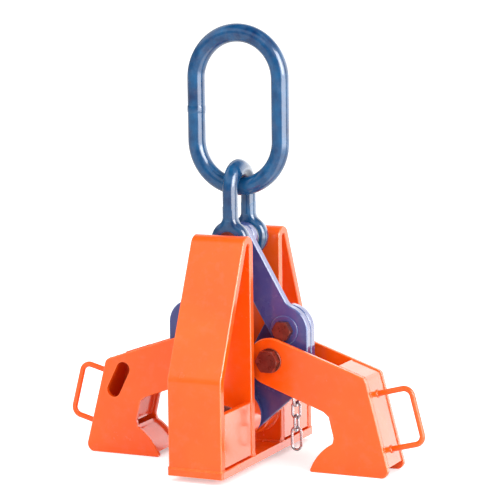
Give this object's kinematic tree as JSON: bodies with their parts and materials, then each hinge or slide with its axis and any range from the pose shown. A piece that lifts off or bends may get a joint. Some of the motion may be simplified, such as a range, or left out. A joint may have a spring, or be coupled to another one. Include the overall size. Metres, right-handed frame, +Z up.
{
  "type": "beam lifting clamp",
  "caption": "Self-tightening lifting clamp: bent-strap foot frame, rhombus of levers and links, hooked box arms with handles, shackle and oblong master link.",
  "frame": {"origin": "centre of the foot plate's underside, the face that rests on the load", "axes": "+X along the right arm, +Y towards the rear strap, +Z up through the master link"},
  "size_m": [0.4118, 0.232, 0.4617],
  "materials": {
    "orange_paint": "glossy",
    "blue_paint": "glossy",
    "blue_gloss": "glossy over forged steel",
    "dark_bolt": "blackened steel",
    "zinc": "zinc plated",
    "chain_steel": "bright zinc plated"
  },
  "bodies": {
    "frame": {"base_plate": "orange_paint", "strap_front": "orange_paint", "strap_rear": "orange_paint", "side_panel_rear_right": "orange_paint", "side_panel_front_left": "orange_paint", "side_panel_rear_left": "orange_paint", "side_panel_front_right": "orange_paint", "pivot_boss_front": "orange_paint", "pivot_boss_rear": "orange_paint", "centre_bolt": "dark_bolt", "centre_nut": "dark_bolt", "centre_washers": "zinc", "lever_spacer": "zinc"},
    "lever_right": {"lever_right": "blue_paint", "link_bolt_right": "dark_bolt", "link_nut_right": "dark_bolt", "link_washers_right": "blue_paint"},
    "lever_left": {"lever_left": "blue_paint", "link_bolt_left": "dark_bolt", "link_nut_left": "dark_bolt", "link_washers_left": "blue_paint"},
    "link_right": {"link_right": "blue_paint"},
    "link_left": {"link_left": "blue_paint"},
    "top_pin": {"shackle_pin": "dark_bolt", "shackle_pin_ring": "zinc", "shackle_pin_spacers": "zinc"},
    "shackle": {"shackle": "blue_gloss"},
    "master_link": {"master_link": "blue_gloss"},
    "arm_right": {"arm_cheek_front_right": "orange_paint", "arm_cheek_rear_right": "orange_paint", "arm_back_plate_right": "orange_paint", "arm_web_plate_right": "orange_paint", "jaw_pad_right": "orange_paint", "arm_stop_right": "orange_paint", "arm_handle_right": "orange_paint", "arm_bolt_right": "dark_bolt", "arm_nut_right": "dark_bolt", "arm_washers_right": "dark_bolt", "arm_spacers_right": "zinc"},
    "arm_left": {"arm_cheek_front_left": "orange_paint", "arm_cheek_rear_left": "orange_paint", "arm_back_plate_left": "orange_paint", "arm_web_plate_left": "orange_paint", "jaw_pad_left": "orange_paint", "arm_stop_left": "orange_paint", "arm_handle_left": "orange_paint", "arm_bolt_left": "dark_bolt", "arm_nut_left": "dark_bolt", "arm_washers_left": "dark_bolt", "arm_spacers_left": "zinc"},
    "keeper_chain": {"chain_ring": "chain_steel", "chain_links": "chain_steel"},
    "chain_end": {"chain_end_link": "chain_steel"}
  },
  "joints": [
    {"name": "lever_right_swing", "type": "hinge", "parent": "frame", "child": "lever_right", "pos_m": [0, 0, 0.045], "axis": [0, 1, 0], "range_deg": [0, 25]},
    {"name": "lever_left_swing", "type": "hinge", "parent": "frame", "child": "lever_left", "pos_m": [0, 0, 0.045], "axis": [0, 1, 0], "range_deg": [-25, 0]},
    {"name": "link_right_swing", "type": "hinge", "parent": "lever_right", "child": "link_right", "pos_m": [0.054, 0, 0.138], "axis": [0, 1, 0], "range_deg": [-50, 0]},
    {"name": "link_left_swing", "type": "hinge", "parent": "lever_left", "child": "link_left", "pos_m": [-0.054, 0, 0.138], "axis": [0, 1, 0], "range_deg": [0, 50]},
    {"name": "top_pin_swing", "type": "hinge", "parent": "link_right", "child": "top_pin", "pos_m": [0, 0, 0.231], "axis": [0, 1, 0], "range_deg": [0, 25]},
    {"name": "shackle_swing", "type": "hinge", "parent": "top_pin", "child": "shackle", "pos_m": [0, 0, 0.231], "axis": [0, 1, 0], "range_deg": [-40, 40]},
    {"name": "master_link_swing", "type": "hinge", "parent": "shackle", "child": "master_link", "pos_m": [0, 0, 0.2857], "axis": [1, 0, 0], "range_deg": [-70, 70]},
    {"name": "arm_right_swing", "type": "hinge", "parent": "lever_right", "child": "arm_right", "pos_m": [0.044, 0, 0.108], "axis": [0, 1, 0], "range_deg": [-35, 0]},
    {"name": "arm_left_swing", "type": "hinge", "parent": "lever_left", "child": "arm_left", "pos_m": [-0.044, 0, 0.108], "axis": [0, 1, 0], "range_deg": [0, 35]},
    {"name": "keeper_chain_swing", "type": "hinge", "parent": "lever_right", "child": "keeper_chain", "pos_m": [0.06, 0.0055, 0.0766], "axis": [0, 1, 0], "range_deg": [-20, 3]},
    {"name": "chain_end_swing", "type": "hinge", "parent": "keeper_chain", "child": "chain_end", "pos_m": [0.06, 0.0055, 0.03215], "axis": [1, 0, 0], "range_deg": [-20, 20]}
  ],
  "couplings": [
    {"joint": "lever_left_swing", "follows": "lever_right_swing", "ratio": -1},
    {"joint": "link_right_swing", "follows": "lever_right_swing", "ratio": -2},
    {"joint": "link_left_swing", "follows": "lever_right_swing", "ratio": 2},
    {"joint": "top_pin_swing", "follows": "lever_right_swing", "ratio": 1}
  ]
}
